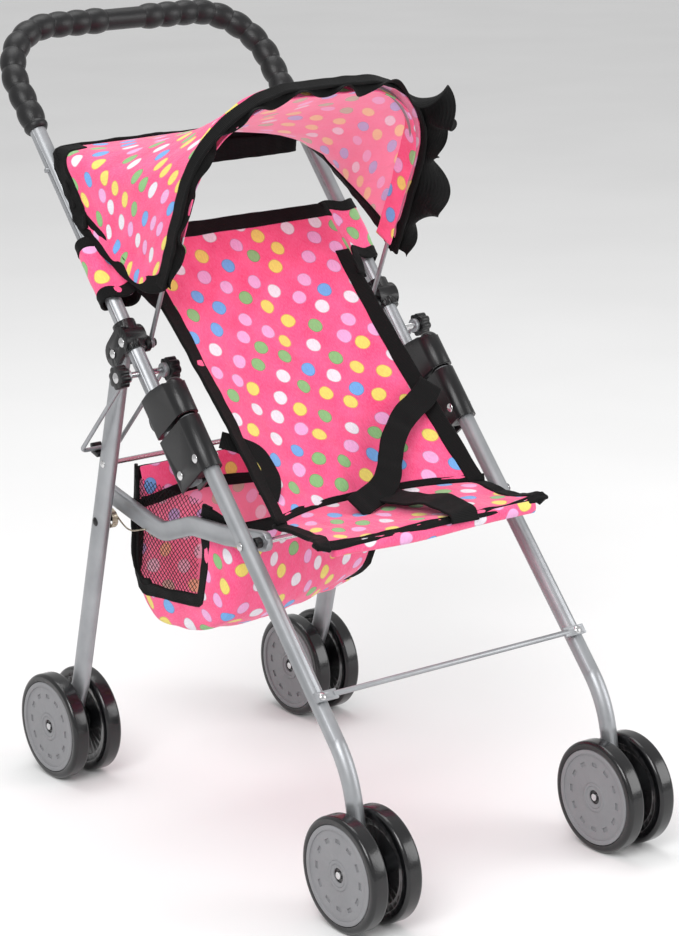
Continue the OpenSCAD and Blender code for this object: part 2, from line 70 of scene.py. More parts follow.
LEG_X = 112.5
SLOPE = math.radians(49.4)
FOOT = np.array([-15.9, 266.3])
ALONG = np.array([math.cos(SLOPE), math.sin(SLOPE)])
AHEAD = np.array([-math.sin(SLOPE), math.cos(SLOPE)])
BOW_PIVOT = np.array([58.0, 352.0])
BOW_LEAN = math.radians(24)
BOW_UP = np.array([-math.sin(BOW_LEAN), math.cos(BOW_LEAN)])
BOW_AHEAD = np.array([-math.cos(BOW_LEAN), -math.sin(BOW_LEAN)])
SPRING_AXIS = np.array([109.8, 211.6])
REAR_PIVOT = np.array([72.11, 344.70])
REAR_KNEE = np.array([147.0, 76.0])
REAR_HUB = np.array([164.0, 40.5])


def on_tube(x, s, n=0.0):
    """The point at x, a distance s up the handle tube and n in front of it."""
    y, z = FOOT + s * ALONG + n * AHEAD
    return np.array([x, y, z])


def on_bow(x, up, ahead=0.0):
    y, z = BOW_PIVOT + up * BOW_UP + ahead * BOW_AHEAD
    return np.array([x, y, z])


# ---- mesh helpers ----

def unit(v):
    return v / max(np.linalg.norm(v), 1e-9)


def lengths(points):
    """Distance along a line of points, from its first."""
    steps = np.linalg.norm(np.diff(points, axis=0), axis=1)
    return np.concatenate([[0.0], np.cumsum(steps)])


def resample(points, n):
    """n points at even distances along a line."""
    points = np.asarray(points, float)
    at = lengths(points)
    want = np.linspace(0, at[-1], n)
    return np.stack([np.interp(want, at, points[:, k]) for k in range(points.shape[1])], axis=1)


def spline(points, n):
    """n even points on a smooth line through the given ones."""
    p = np.asarray(points, float)
    p = np.vstack([2 * p[0] - p[1], p, 2 * p[-1] - p[-2]])
    fine = []
    for i in range(1, len(p) - 2):
        for t in np.linspace(0, 1, 16, endpoint=False):
            a, b, c, d = p[i - 1], p[i], p[i + 1], p[i + 2]
            fine.append(0.5 * (2 * b + (c - a) * t + (2 * a - 5 * b + 4 * c - d) * t * t
                               + (3 * b - a - 3 * c + d) * t ** 3))
    fine.append(p[-2])
    return resample(fine, n)


def rounded(points, radius, step=3.0):
    """The polyline with each inner corner turned into an arc of the radius."""
    p = [np.asarray(q, float) for q in points]
    out = [p[0]]
    for a, b, c in zip(p, p[1:], p[2:]):
        d1, d2 = unit(b - a), unit(c - b)
        half = math.acos(np.clip(d1 @ d2, -1, 1)) / 2
        cut = radius * math.tan(half)
        start, end = b - d1 * cut, b + d2 * cut
        n = max(4, int(2 * half * radius / step))
        centre = b + unit(d2 - d1) * radius / math.cos(half)
        for k in range(n + 1):
            t = k / n
            w = math.sin(2 * half) or 1
            near, far = math.sin((1 - t) * 2 * half), math.sin(t * 2 * half)
            out.append(centre + (near * (start - centre) + far * (end - centre)) / w)
    out.append(p[-1])
    return np.array(out)


def add_mesh(name, verts, faces, uvs, material, inner=None):
    mesh = bpy.data.meshes.new(name)
    mesh.from_pydata([tuple(np.asarray(v) * MM) for v in verts], [], faces)
    layer = mesh.uv_layers.new(name="UVMap")
    at = np.zeros(len(mesh.loops), int)
    mesh.loops.foreach_get("vertex_index", at)
    layer.data.foreach_set("uv", (np.asarray(uvs, float)[at] * MM).ravel())
    mesh.polygons.foreach_set("use_smooth", [True] * len(mesh.polygons))
    mesh.materials.append(material)
    if inner:
        mesh.materials.append(inner)
    mesh.update()
    made = bpy.data.objects.new(name, mesh)
    bpy.context.scene.collection.objects.link(made)
    return made


def grid_faces(n, m, closed=False):
    cols = m if closed else m - 1
    return [(i * m + j, i * m + (j + 1) % m, (i + 1) * m + (j + 1) % m, (i + 1) * m + j)
            for i in range(n - 1) for j in range(cols)]


def apply_all(piece):
    """The piece with its modifiers turned into mesh."""
    bpy.context.view_layer.update()
    graph = bpy.context.evaluated_depsgraph_get()
    mesh = bpy.data.meshes.new_from_object(piece.evaluated_get(graph))
    piece.modifiers.clear()
    piece.data = mesh
    return piece


def cloth(name, rows, material, inner=None, thick=1.0):
    """A sheet through a grid of points, rows[i][j], with flat-cloth UVs in metres and a thickness."""
    p = np.asarray(rows, float)
    n, m = p.shape[:2]
    mid = m // 2
    down = lengths(p[:, mid])
    uvs = np.zeros((n, m, 2))
    for i in range(n):
        across = lengths(p[i])
        uvs[i, :, 0] = across - across[mid]
        uvs[i, :, 1] = down[i]
    made = add_mesh(name, p.reshape(-1, 3), grid_faces(n, m), uvs.reshape(-1, 2), material, inner)
    solid = made.modifiers.new("thickness", "SOLIDIFY")
    solid.thickness = thick * MM
    solid.offset = 0.0
    if inner:
        solid.material_offset = 1
    smooth = made.modifiers.new("smooth", "SUBSURF")
    smooth.levels = smooth.render_levels = 1
    return apply_all(made)


def frames(path, side=None):
    """Tangent, side and up at each point of a path. A given side is kept as nearly as it can be."""
    p = np.asarray(path, float)
    t = np.gradient(p, axis=0)
    t /= np.linalg.norm(t, axis=1)[:, None]
    out, last = [], None
    for i in range(len(p)):
        if side is not None:
            s = np.asarray(side[i] if np.ndim(side) == 2 else side, float)
        else:
            s = last if last is not None else np.cross(t[0], [0.31, 0.53, 0.79])
        s = unit(s - (s @ t[i]) * t[i])
        out.append((t[i], s, np.cross(t[i], s)))
        last = s
    return out


def sweep(name, path, section, material, side=None, scale=None, caps=True):
    """A closed section, [side, up] points, carried along a path. scale gives a factor at each point."""
    p = np.asarray(path, float)
    sec = np.asarray(section, float)
    m = len(sec)
    round_ = lengths(np.vstack([sec, sec[:1]]))
    at = lengths(p)
    verts, uvs = [], []
    for i, (_, s, u) in enumerate(frames(p, side)):
        k = np.atleast_1d(1.0 if scale is None else scale[i])
        for j in range(m):
            verts.append(p[i] + s * sec[j, 0] * k[0] + u * sec[j, 1] * k[-1])
            uvs.append((at[i], round_[j]))
    faces = grid_faces(len(p), m, closed=True)
    if caps:
        faces += [tuple(range(m))[::-1], tuple((len(p) - 1) * m + j for j in range(m))]
    made = add_mesh(name, verts, faces, uvs, material)
    recalc(made)
    return made


def recalc(piece):
    """Turns every face of a closed piece outwards."""
    bm = bmesh.new()
    bm.from_mesh(piece.data)
    bmesh.ops.recalc_face_normals(bm, faces=bm.faces)
    bm.to_mesh(piece.data)
    bm.free()


def circle(r, n):
    return [(r * math.cos(2 * math.pi * k / n), r * math.sin(2 * math.pi * k / n)) for k in range(n)]


def band(w, t):
    """Section of a flat woven tape with rolled edges: w wide, t thick."""
    r = t / 2
    turn = np.linspace(-math.pi / 2, math.pi / 2, 5)
    edge = [(w / 2 - r + r * math.cos(a), r * math.sin(a)) for a in turn]
    fill = [(x, r * 0.86) for x in np.linspace(w / 2 - 2 * r, -w / 2 + 2 * r, 5)]
    other = [(-x, -y) for x, y in edge]
    return edge + fill + other + [(-x, -y) for x, y in fill]


def tape(name, path, across, width, material, thick=1.8, crumple=0.5, seed=0.0):
    """A tape along a path, lying along the given across directions, with a slightly uneven edge."""
    p = np.asarray(path, float)
    widths = [1 + 0.10 * noise.noise(Vector(q * 0.06) + Vector((seed, 0, 0))) for q in p]
    lift = [crumple * noise.noise(Vector(q * 0.09) + Vector((0, seed, 3))) for q in p]
    p = np.array([q + f[2] * k for q, f, k in zip(p, frames(p, across), lift)])
    return sweep(name, p, band(width, thick), material, side=across, scale=[(k, 1.0) for k in widths])


def facing_one_way(direction, n):
    """The same across direction at each of n points of a tape."""
    return np.array([direction] * n)


def wrinkled(rows, amount, size, seed=0.0, pinned=None):
    """Moves the grid's points along their normals by smooth noise, less where pinned(i, j) is small."""
    p = np.asarray(rows, float)
    du, dv = np.gradient(p, axis=1), np.gradient(p, axis=0)
    normal = np.cross(du, dv)
    normal /= np.maximum(np.linalg.norm(normal, axis=2), 1e-9)[:, :, None]
    out = p.copy()
    for i in range(p.shape[0]):
        for j in range(p.shape[1]):
            q = p[i, j]
            v = Vector((q[0] / size[0], q[1] / size[1], q[2] / size[2] + seed))
            k = pinned(i, j) if pinned else 1.0
            out[i, j] = q + normal[i, j] * amount * k * noise.fractal(v, 0.9, 2.1, 3)
    return out


def put(piece, body, slot, *stands_for):
    """Says which body a new piece rides on and the CAD nodes that it replaces; slot is not used."""
    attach(piece, body)
    if stands_for:
        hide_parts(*stands_for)


def bend(piece, slot, bodies, ends, *stands_for):
    """Bakes the piece's transform into its mesh and hides the CAD nodes that it replaces; slot, bodies and
    ends are not used.
    """
    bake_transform(piece)
    if stands_for:
        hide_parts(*stands_for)


def join(name, pieces):
    """One object out of several, in the order given."""
    bpy.context.view_layer.update()
    for o in bpy.context.scene.objects:
        o.select_set(False)
    for o in pieces:
        o.select_set(True)
    bpy.context.view_layer.objects.active = pieces[0]
    bpy.ops.object.join()
    pieces[0].name = name
    return pieces[0]


# ---- materials ----

class Finish:
    """A node material with short names for the nodes that it is made of."""

    def __init__(self, name, **sockets):
        self.material = bpy.data.materials.new(name)
        self.material.use_nodes = True
        self.tree = self.material.node_tree
        self.shader = self.tree.nodes["Principled BSDF"]
        for key, value in sockets.items():
            self.shader.inputs[key.replace("_", " ")].default_value = value

    def node(self, kind, inputs=None, **settings):
        made = self.tree.nodes.new("ShaderNode" + kind)
        for key, value in settings.items():
            setattr(made, key, value)
        for key, value in (inputs or {}).items():
            self.feed(made.inputs[key], value)
        return made

    def feed(self, socket, value):
        if isinstance(value, bpy.types.NodeSocket):
            self.tree.links.new(value, socket)
        else:
            socket.default_value = value

    def coords(self, kind, scale=1.0, turn=0.0):
        at = self.node("TexCoord").outputs[kind]
        size = (scale,) * 3 if isinstance(scale, (int, float)) else scale
        moved = self.node("Mapping", {"Vector": at, "Scale": size, "Rotation": (0, 0, turn)})
        return moved.outputs["Vector"]

    def between(self, value, low, high):
        """The value from 0 to 1 stretched over a range."""
        return self.node("MapRange", {"Value": value, "To Min": low, "To Max": high}).outputs["Result"]

    def noise(self, at, scale=1.0, detail=3.0, rough=0.5):
        made = self.node("TexNoise", {"Vector": at, "Scale": scale, "Detail": detail, "Roughness": rough})
        return made.outputs["Fac"]

    def ramp(self, value, stops, constant=False):
        made = self.node("ValToRGB", {"Fac": value})
        made.color_ramp.interpolation = "CONSTANT" if constant else "LINEAR"
        ends = made.color_ramp.elements
        for k, (at, colour) in enumerate(stops):
            stop = ends[k] if k < 2 else ends.new(at)
            stop.position = at
            stop.color = (*colour, 1) if hasattr(colour, "__len__") else (colour,) * 3 + (1,)
        return made.outputs["Color"]

    def mix(self, fac, a, b, how="MIX"):
        made = self.node("MixRGB", {"Fac": fac, "Color1": a, "Color2": b}, blend_type=how)
        return made.outputs["Color"]

    def maths(self, how, a, b):
        made = self.node("Math", {0: a, 1: b}, operation=how)
        return made.outputs["Value"]

    def bump(self, height, distance, under=None):
        inputs = {"Height": height, "Distance": distance, "Strength": 1.0}
        if under is not None:
            inputs["Normal"] = under
        return self.node("Bump", inputs).outputs["Normal"]

    def set(self, key, value):
        self.feed(self.shader.inputs[key], value)


def painted(name, dark, light, metal, rough, grain=900.0):
    """Paint or bare metal with a fine grain, soft blotches and worn, brighter spots."""
    f = Finish(name, Metallic=metal)
    at = f.coords("Object")
    blotch = f.noise(at, 38.0, 4.0)
    f.set("Base Color", f.mix(f.ramp(blotch, [(0.3, 0.0), (0.7, 1.0)]), (*dark, 1), (*light, 1)))
    f.set("Roughness", f.between(f.noise(at, 160.0, 3.0), *rough))
    f.set("Normal", f.bump(f.noise(at, grain, 2.0), 0.00004))
    return f.material


def moulded(name, dark, light, rough, grain=1400.0, depth=0.00005, coat=0.0):
    """Moulded plastic or rubber with a fine skin texture and uneven gloss."""
    f = Finish(name, Coat_Weight=coat, Coat_Roughness=0.12, Specular_IOR_Level=0.4)
    at = f.coords("Object")
    f.set("Base Color", f.mix(f.noise(at, 60.0, 4.0), (*dark, 1), (*light, 1)))
    f.set("Roughness", f.between(f.noise(at, 220.0, 4.0), *rough))
    skin = f.node("TexVoronoi", {"Vector": at, "Scale": grain}).outputs["Distance"]
    f.set("Normal", f.bump(skin, depth))
    return f.material


def weave(f, period, depth, under=None):
    """Bump of a plain weave with the given thread spacing in metres, and its warp threads."""
    wave = {"Vector": f.coords("UV"), "Scale": 0.314 / period, "Distortion": 0.4, "Detail Scale": 2.0}
    warp, weft = (f.node("TexWave", wave, bands_direction=way).outputs["Fac"] for way in "XY")
    return f.bump(f.maths("MULTIPLY", warp, weft), depth, under), warp


PINK = (0.95, 0.105, 0.275)
PINK_DEEP = (0.86, 0.058, 0.195)
DOTS = [(0.0, (0.88, 0.72, 0.16)), (0.27, (0.26, 0.52, 0.21)), (0.43, (0.17, 0.42, 0.82)),
        (0.56, (0.84, 0.80, 0.87)), (0.76, (0.86, 0.42, 0.72))]


DOT_SPACING = 0.0190


def dotted(name, painted_glow=0.0):
    """Pink cotton printed with many-coloured dots. The second argument mixes it towards a pale pink and makes
    it glow faintly: painted light shining through the cloth.
    """
    f = Finish(name, Sheen_Weight=0.25, Sheen_Roughness=0.5, Specular_IOR_Level=0.25)
    at = f.coords("UV", 1 / DOT_SPACING, 0.62)
    shift = f.node("TexNoise", {"Vector": at, "Scale": 1.6, "Detail": 1.0}).outputs["Color"]
    moved = f.mix(0.09, at, shift, "ADD")
    cells = f.node("TexVoronoi", {"Vector": moved, "Scale": 1.0, "Randomness": 0.36},
                   voronoi_dimensions="2D")
    reach = cells.outputs["Distance"]
    pick = f.node("SeparateColor", {"Color": cells.outputs["Color"]}).outputs["Red"]
    dot = f.ramp(pick, DOTS, constant=True)
    cloudy = f.noise(f.coords("UV"), 46.0, 4.0)
    ground = f.mix(f.ramp(cloudy, [(0.32, 0.0), (0.68, 1.0)]), (*PINK_DEEP, 1), (*PINK, 1))
    streaks = f.noise(f.coords("UV", (1.0, 0.3, 1.0), 0.3), 1300.0, 3.0, 0.7)
    ground = f.mix(f.ramp(streaks, [(0.42, 0.0), (0.66, 0.26)]), ground, (0.96, 0.33, 0.50, 1))
    edge = f.mix(0.55, dot, (0.35, 0.10, 0.14, 1), "MULTIPLY")
    inside = f.ramp(reach, [(0.0, 1.0), (0.268, 1.0), (0.280, 0.0)])
    ring = f.ramp(reach, [(0.0, 1.0), (0.290, 1.0), (0.306, 0.0)])
    threads = f.noise(f.coords("UV", (1.0, 0.35, 1.0)), 900.0, 3.0, 0.7)
    speck = f.ramp(threads, [(0.35, 0.86), (0.65, 1.0)])
    print_ = f.mix(inside, f.mix(ring, ground, edge), f.mix(1.0, dot, speck, "MULTIPLY"))
    # painted light: a paler pink and a faint glow, standing in for light shining through the cloth
    if painted_glow:
        print_ = f.mix(painted_glow, print_, (0.95, 0.47, 0.62, 1))
        f.set("Emission Color", print_)
        f.set("Emission Strength", 0.16)
    f.set("Base Color", print_)
    f.set("Roughness", f.between(cloudy, 0.72, 0.88))
    creases = f.noise(f.coords("UV", (1.0, 0.4, 1.0)), 62.0, 4.0, 0.6)
    crumpled = f.bump(creases, 0.0024)
    f.set("Normal", weave(f, 0.00085, 0.00010, crumpled)[0])
    return f.material


def webbing(name, light=0.012, period=0.0011):
    """Black woven tape, fuzzy along its threads."""
    f = Finish(name, Sheen_Weight=0.02, Sheen_Roughness=0.4, Specular_IOR_Level=0.15)
    normal, warp = weave(f, period, 0.00022)
    fuzz = f.noise(f.coords("UV"), 260.0, 4.0)
    dark = (0.002, 0.002, 0.0022, 1)
    f.set("Base Color", f.mix(f.maths("MULTIPLY", fuzz, warp), dark, (light, light, light, 1)))
    f.set("Roughness", f.between(fuzz, 0.62, 0.85))
    f.set("Normal", normal)
    return f.material


FRAME_PAINT = painted("frame_paint", (0.31, 0.32, 0.335), (0.39, 0.40, 0.415), 0.7, (0.36, 0.46))
BARE_STEEL = painted("bright_steel", (0.52, 0.52, 0.53), (0.72, 0.72, 0.72), 1.0, (0.14, 0.30), 600.0)
SPRING_STEEL = painted("spring_steel", (0.40, 0.34, 0.25), (0.62, 0.55, 0.44), 1.0, (0.20, 0.34), 500.0)
BLACK_PLASTIC = moulded("black_plastic", (0.004, 0.004, 0.0045), (0.009, 0.009, 0.010),
                        (0.24, 0.36))
GRIP_RUBBER = moulded("grip_rubber", (0.004, 0.004, 0.0045), (0.009, 0.009, 0.010),
                      (0.32, 0.46), 1100.0, 0.00008)
WHEEL_BLACK = moulded("wheel_plastic", (0.003, 0.003, 0.0035), (0.007, 0.007, 0.008),
                      (0.16, 0.26), 700.0, 0.00003, 0.3)
COVER_GREY = moulded("cover_plastic", (0.20, 0.20, 0.21), (0.25, 0.25, 0.26),
                     (0.36, 0.48), 1500.0, 0.00006)
FABRIC = dotted("dotted_fabric")
# inner side of the cloth, lightened and made to glow as painted light shining through it
FABRIC_BACK_PAINTED_GLOW = dotted("dotted_fabric_back_painted_glow", painted_glow=0.45)
TAPE = webbing("black_binding")
NET = webbing("black_net", 0.02, 0.0007)

FINISHES = {
    "frame_tube": FRAME_PAINT, "bright_steel": BARE_STEEL, "spring_steel": SPRING_STEEL,
    "black_plastic": BLACK_PLASTIC, "grip_rubber": GRIP_RUBBER, "wheel_plastic": WHEEL_BLACK,
    "cover_plastic": COVER_GREY, "dotted_fabric": FABRIC, "black_binding": TAPE,
}

# ---- the CAD nodes keep their shape and get their finish and a small rounded edge ----

for row in frame["record"]["subparts"]:
    o = NODES[row["node"]]
    o.data.materials.clear()
    o.data.materials.append(FINISHES[row["material_slot"]])
    o.data.polygons.foreach_set("use_smooth", [True] * len(o.data.polygons))
    o.data.update()
    o.modifiers.new("weld", "WELD").merge_threshold = 0.00002
    edge = o.modifiers.new("edge", "BEVEL")
    edge.width = 0.00045
    edge.segments = 2
    edge.limit_method = "ANGLE"
    edge.angle_limit = math.radians(38)
    edge.harden_normals = True

# ---- handle grip: a rubber sleeve moulded in ribs, smooth in the middle ----

GRIP_START, HANDLE_TOP, CORNER = 296.0, 385.07, 50.0
flat_path = rounded([[-LEG_X, GRIP_START, 0], [-LEG_X, HANDLE_TOP, 0], [LEG_X, HANDLE_TOP, 0],
                     [LEG_X, GRIP_START, 0]], CORNER, 1.0)
flat_path = resample(flat_path, 520)
grip_path = np.array([on_tube(x, s) for x, s, _ in flat_path])
run = lengths(grip_path)
PITCH, ROOT, RIB = 15.7, 8.05, 1.75
middle = run[-1] / 2
radius = []
for d in run:
    out = abs(d - middle) - 17.0
    end = min(d, run[-1] - d)
    r = ROOT
    if out > 0:
        r += RIB * abs(math.sin(math.pi * out / PITCH)) ** 0.65
    if end < 5:
        r = 7.3 + (r - 7.3) * math.sin(end / 5 * math.pi / 2)
    radius.append(r)
grip = sweep("handle_grip_rubber", grip_path, circle(1.0, 28), GRIP_RUBBER, scale=radius)
put(grip, "handle_frame", "grip_rubber", "handle_grip")

# ---- rear legs: oval tube, drawn flat where the pivot goes through ----

for side, word in SIDES:
    top = REAR_PIVOT + 8.0 * unit(REAR_PIVOT - REAR_KNEE)
    foot = REAR_HUB + 7.0 * unit(REAR_HUB - REAR_KNEE)
    line = rounded([[side * LEG_X, *top], [side * LEG_X, *REAR_KNEE], [side * LEG_X, *foot]], 70.0, 3.0)
    line = resample(line, 90)
    grow = []
    for d in lengths(line):
        e = min(d, lengths(line)[-1] - d)
        grow.append((1.0, 0.62 + 0.38 * math.sqrt(min(e, 8.0) * (16 - min(e, 8.0))) / 8.0))
    leg = sweep("rear_leg_tube_" + word, line, [(x, y) for x, y in
                ((5.0 * math.copysign(abs(math.cos(a)) ** 0.8, math.cos(a)),
                  8.4 * math.copysign(abs(math.sin(a)) ** 0.9, math.sin(a)))
                 for a in np.linspace(0, 2 * math.pi, 28, endpoint=False))],
                FRAME_PAINT, side=(1, 0, 0), scale=grow)
    put(leg, "rear_frame", "frame_tube", "rear_leg_" + word)

# ---- side links: pressed strip with a raised middle ----

LINK = [(-77.9, 235.8), (-31.9, 229.6), (11.1, 227.3), (46.7, 214.4), (63.7, 216.6),
        (115.9, 227.6), (126.0, 231.0)]
LINK_SECTION = [(-2.7, -6.6), (-2.2, -7.0), (1.6, -7.0), (2.3, -6.6), (2.5, -5.6), (1.7, -3.6),
                (1.1, 0), (1.7, 3.6), (2.5, 5.6), (2.3, 6.6), (1.6, 7.0), (-2.2, 7.0), (-2.7, 6.6), (-2.7, 0)]
for side, word in SIDES:
    flat = rounded([[0, *p] for p in LINK], 26.0, 2.0)
    ends = [flat[0] + 6.2 * unit(flat[0] - flat[3]), *flat[1:-1], flat[-1] + 6.2 * unit(flat[-1] - flat[-4])]
    line = resample([q + np.array([side * 97.9, 0, 0]) for q in ends], 120)
    total = lengths(line)[-1]
    inset = [min(min(d, total - d) / 6.5, 1.0) for d in lengths(line)]
    grow = [(1.0, 0.35 + 0.65 * math.sqrt(1 - (1 - e) ** 2)) for e in inset]
    section = [(side * x, y) for x, y in LINK_SECTION]
    link = sweep("side_link_strip_" + word, line, section, FRAME_PAINT, side=(1, 0, 0), scale=grow)
    put(link, "side_links", "frame_tube", "side_link_" + word)

# ---- torsion springs ----

for side, word in SIDES:
    coil_r, turns = 6.2, 4
    points = [[LEG_X - 5.9, *(SPRING_AXIS + [3.2, 24.0])], [LEG_X - 5.9, *(SPRING_AXIS + [coil_r, 3.0])]]
    for k in range(turns * 20 + 16):
        a = math.radians(k * 18)
        points.append([LEG_X - 6.2 - 4.5 * k / (turns * 20 + 15),
                       SPRING_AXIS[0] + coil_r * math.cos(a), SPRING_AXIS[1] - coil_r * math.sin(a)])
    points += [[LEG_X - 10.9, 90.0, 207.5], [LEG_X - 10.9, 67.0, 212.5]]
    line = spline([[side * p[0], p[1], p[2]] for p in points], 520)
    spring = sweep("torsion_spring_coil_" + word, line, circle(0.62, 8), SPRING_STEEL)
    put(spring, "rear_frame", "spring_steel", "torsion_spring_" + word)

# ---- seat back ----

BACK_TOP = np.array([105.4, 423.2])
EDGE_FOOT = np.array([-84.0, 248.0])
CREASE = np.array([-60.0, 246.5])
N_BACK, M_BACK = 46, 41
back_rows = []
for v in np.linspace(0, 1, N_BACK):
    row = []
    for u in np.linspace(-1, 1, M_BACK):
        edge_line = EDGE_FOOT + (BACK_TOP - EDGE_FOOT) * v
        mid_line = CREASE + (BACK_TOP - CREASE) * v
        sag = math.sin(math.pi * min(v * 1.08, 1.0)) * 5.0
        mid_line = mid_line + np.array([0.72, -0.70]) * sag
        k = 1 - abs(u) ** 2.6
        y, z = edge_line * (1 - k) + mid_line * k
        half = 91.0 - 3.0 * math.sin(math.pi * v)
        row.append([u * half, y, z])
    back_rows.append(row)


def back_slack(i, j):
    """How far the seat back may crease: not at its edges, and most near the seat."""
    above, beyond = N_BACK - 1 - i, M_BACK - 1 - j
    return min(i / 3, above / 6, 1) * min(j / 5, beyond / 5, 1) * (1.0 - 0.55 * i / (N_BACK - 1))


back_rows = wrinkled(back_rows, 4.2, (26.0, 60.0, 60.0), 1.7, back_slack)
seat_back = cloth("seat_back_cloth", back_rows, FABRIC, FABRIC_BACK_PAINTED_GLOW, 1.4)


def edge_tape(name, edge_points, inner_points, width, seed=0.0, thick=2.6, n=60):
    """A binding folded over a sheet's edge, and a little past its ends."""
    rim, inside = resample(edge_points, n), resample(inner_points, n)
    across = np.array([unit(b - a) for a, b in zip(rim, inside)])
    line = rim + across * (width / 2 - 1.0)
    past = 1.6
    line[0] += past * unit(line[0] - line[1])
    line[-1] += past * unit(line[-1] - line[-2])
    return tape(name, line, across, width, TAPE, thick, 0.6, seed)


SIDE_END = 38
rows = np.array(back_rows)
back_bindings = join("seat_back_binding", [
    edge_tape("b1", rows[-1], rows[-4], 13.0, 1.0),
    edge_tape("b2", rows[:SIDE_END, 0], rows[:SIDE_END, 3], 13.0, 2.0),
    edge_tape("b3", rows[:SIDE_END, -1], rows[:SIDE_END, -4], 13.0, 3.0),
    edge_tape("b4", rows[0], rows[3], 6.0, 4.0, 2.0)])
SEAT_BODIES = "front_frame", "handle_frame"
SEAT_TURN = (0, -0.078, 0.244), (0, -0.010, 0.312)
bend(seat_back, "dotted_fabric", SEAT_BODIES, SEAT_TURN, "seat_back")
bend(back_bindings, "black_binding", SEAT_BODIES, SEAT_TURN)

# ---- wings of the seat back, round the handle tubes ----

N_WING = 18

for side, word in SIDES:
    wing_rows = []
    for k, s in enumerate(np.linspace(150, 199, N_WING)):
        drop = 22.0 * (1 - k / (N_WING - 1))
        lead = 10.0 + (198 - s + drop) / 256 * 29.8
        loop = [(-23.0, lead), (-15.0, 0.50 * lead + 3.2), (-7.0, 0.12 * lead + 7.2)]
        loop += [(9.4 * math.sin(a), 9.4 * math.cos(a)) for a in np.linspace(0, math.pi, 12)]
        loop += [(-9.0, -10.4), (-17.0, -9.2), (-21.5, -4.0), (-22.0, 3.0)]
        loop = spline([(x, n, 0) for x, n in loop], 44)
        full = 1 + 0.08 * math.sin(math.pi * k / (N_WING - 1))
        grow = [1.0 if j < 6 else full for j in range(len(loop))]
        slant = [drop * max(0.0, 1 - j / 4) for j in range(len(loop))]
        wing_rows.append([on_tube(side * (LEG_X + x * g), s + 1.5 * math.sin(j * 0.45) - slant[j], n * g)
                          for j, ((x, n, _), g) in enumerate(zip(loop, grow))][::side])
    wing_rows = wrinkled(wing_rows, 1.3, (16.0, 30.0, 30.0), 4.1 + side,
                         lambda i, j: 1.0 if 8 < j < 36 else 0.15)
    wing = cloth("seat_wing_" + word, wing_rows, FABRIC, FABRIC_BACK_PAINTED_GLOW, 1.0)
    put(wing, "handle_frame", "dotted_fabric")
    trims = join("seat_wing_binding_" + word, [
        edge_tape("w1", wing_rows[0], wing_rows[3], 9.0, 5.0 + side, 2.2),
        edge_tape("w2", wing_rows[-1], wing_rows[-4], 9.0, 8.0 + side, 2.2)])
    put(trims, "handle_frame", "black_binding")

# ---- seat base with its rolled front edge ----

base_rows = []
for v in np.linspace(0, 1, 22):
    row = []
    for u in np.linspace(1, -1, 45):
        rear = CREASE[0] - (CREASE[0] - EDGE_FOOT[0]) * abs(u) ** 2.6
        y = rear + (-143.0 - rear) * v
        corner = max(0.0, abs(u) - 0.9) / 0.1 * max(0.0, v - 0.7) / 0.3
        z = 245.8 - 2.2 * math.sin(math.pi * v) * (1 - u * u) + 2.6 * corner
        if v > 0.93:
            z -= 3.0 * (v - 0.93) / 0.07
        row.append([u * (91.0 + 9.0 * corner), y, z])
    base_rows.append(row)
base_rows = wrinkled(base_rows, 2.0, (30.0, 22.0, 40.0), 6.3, lambda i, j: 1 if i > 2 else i / 3)
seat_base = cloth("seat_base_cloth", base_rows, FABRIC, FABRIC_BACK_PAINTED_GLOW, 1.6)
put(seat_base, "front_frame", "dotted_fabric", "seat_base")
rows = np.array(base_rows)
base_bindings = join("seat_base_binding", [
    edge_tape("s1", rows[-1], rows[-3], 8.0, 11.0, 3.0, 80),
    edge_tape("s2", rows[:, 0], rows[:, 3], 11.0, 12.0, 3.0),
    edge_tape("s3", rows[:, -1], rows[:, -4], 11.0, 13.0, 3.0)])
put(base_bindings, "front_frame", "black_binding")

roll_line = [[x, -141.0 + 1.2 * math.sin(x / 19.0), 240.2 - 0.9 * math.cos(x / 27.0)]
             for x in np.linspace(-86, 88, 60)]
roll = sweep("seat_front_hem", roll_line, [(4.6 * math.cos(a), 3.6 * math.sin(a)) for a in
             np.linspace(0, 2 * math.pi, 16, endpoint=False)], FABRIC, side=(0, 0, 1))
put(roll, "front_frame", "dotted_fabric", "seat_front_roll")

# ---- harness webbing ----

crotch = spline([[9, -66, 249.5], [8, -78, 250.2], [14, -95, 249.6], [21, -112, 252.0], [24, -128, 250.5],
                 [24, -142, 248.5], [24, -147, 243.0]], 60)
crotch_piece = tape("crotch_strap_webbing", crotch, facing_one_way(unit(np.array([1.0, 0.18, 0.05])), 60),
                    27.0, TAPE, 1.8, 1.4, 21.0)
put(crotch_piece, "front_frame", "black_binding", "crotch_strap")

far = spline([[89, -26, 309], [78, -31.6, 302], [54, -40.4, 293], [36, -51, 282.5], [24, -62, 271.5],
              [14, -72, 261.5], [2, -78, 254.5], [-12, -82.6, 251.5], [-27, -89, 249.5]], 80)
facing = np.array([0.0, -0.70, 0.72])
lie = np.array([unit(np.cross(facing, t)) for t in np.gradient(far, axis=0)])
far_piece = tape("waist_strap_left", far, lie, 19.0, TAPE, 1.7, 1.6, 31.0)
near = spline([[-94, -22, 296], [-82, -30, 291], [-73.5, -38, 285], [-73, -50, 274.5],
               [-77, -58, 267], [-84, -64, 261]], 70)
lie = np.array([unit(np.cross(facing, t)) for t in np.gradient(near, axis=0)])
near_piece = tape("waist_strap_right", near, lie, 15.0, TAPE, 1.7, 1.2, 41.0)
bend(far_piece, "black_binding", SEAT_BODIES, SEAT_TURN, "waist_straps")
bend(near_piece, "black_binding", SEAT_BODIES, SEAT_TURN)

# ---- canopy ----

GROW, REACH, ARCH_R, LOW = 3.6, 198.0, 80.0, 50.0


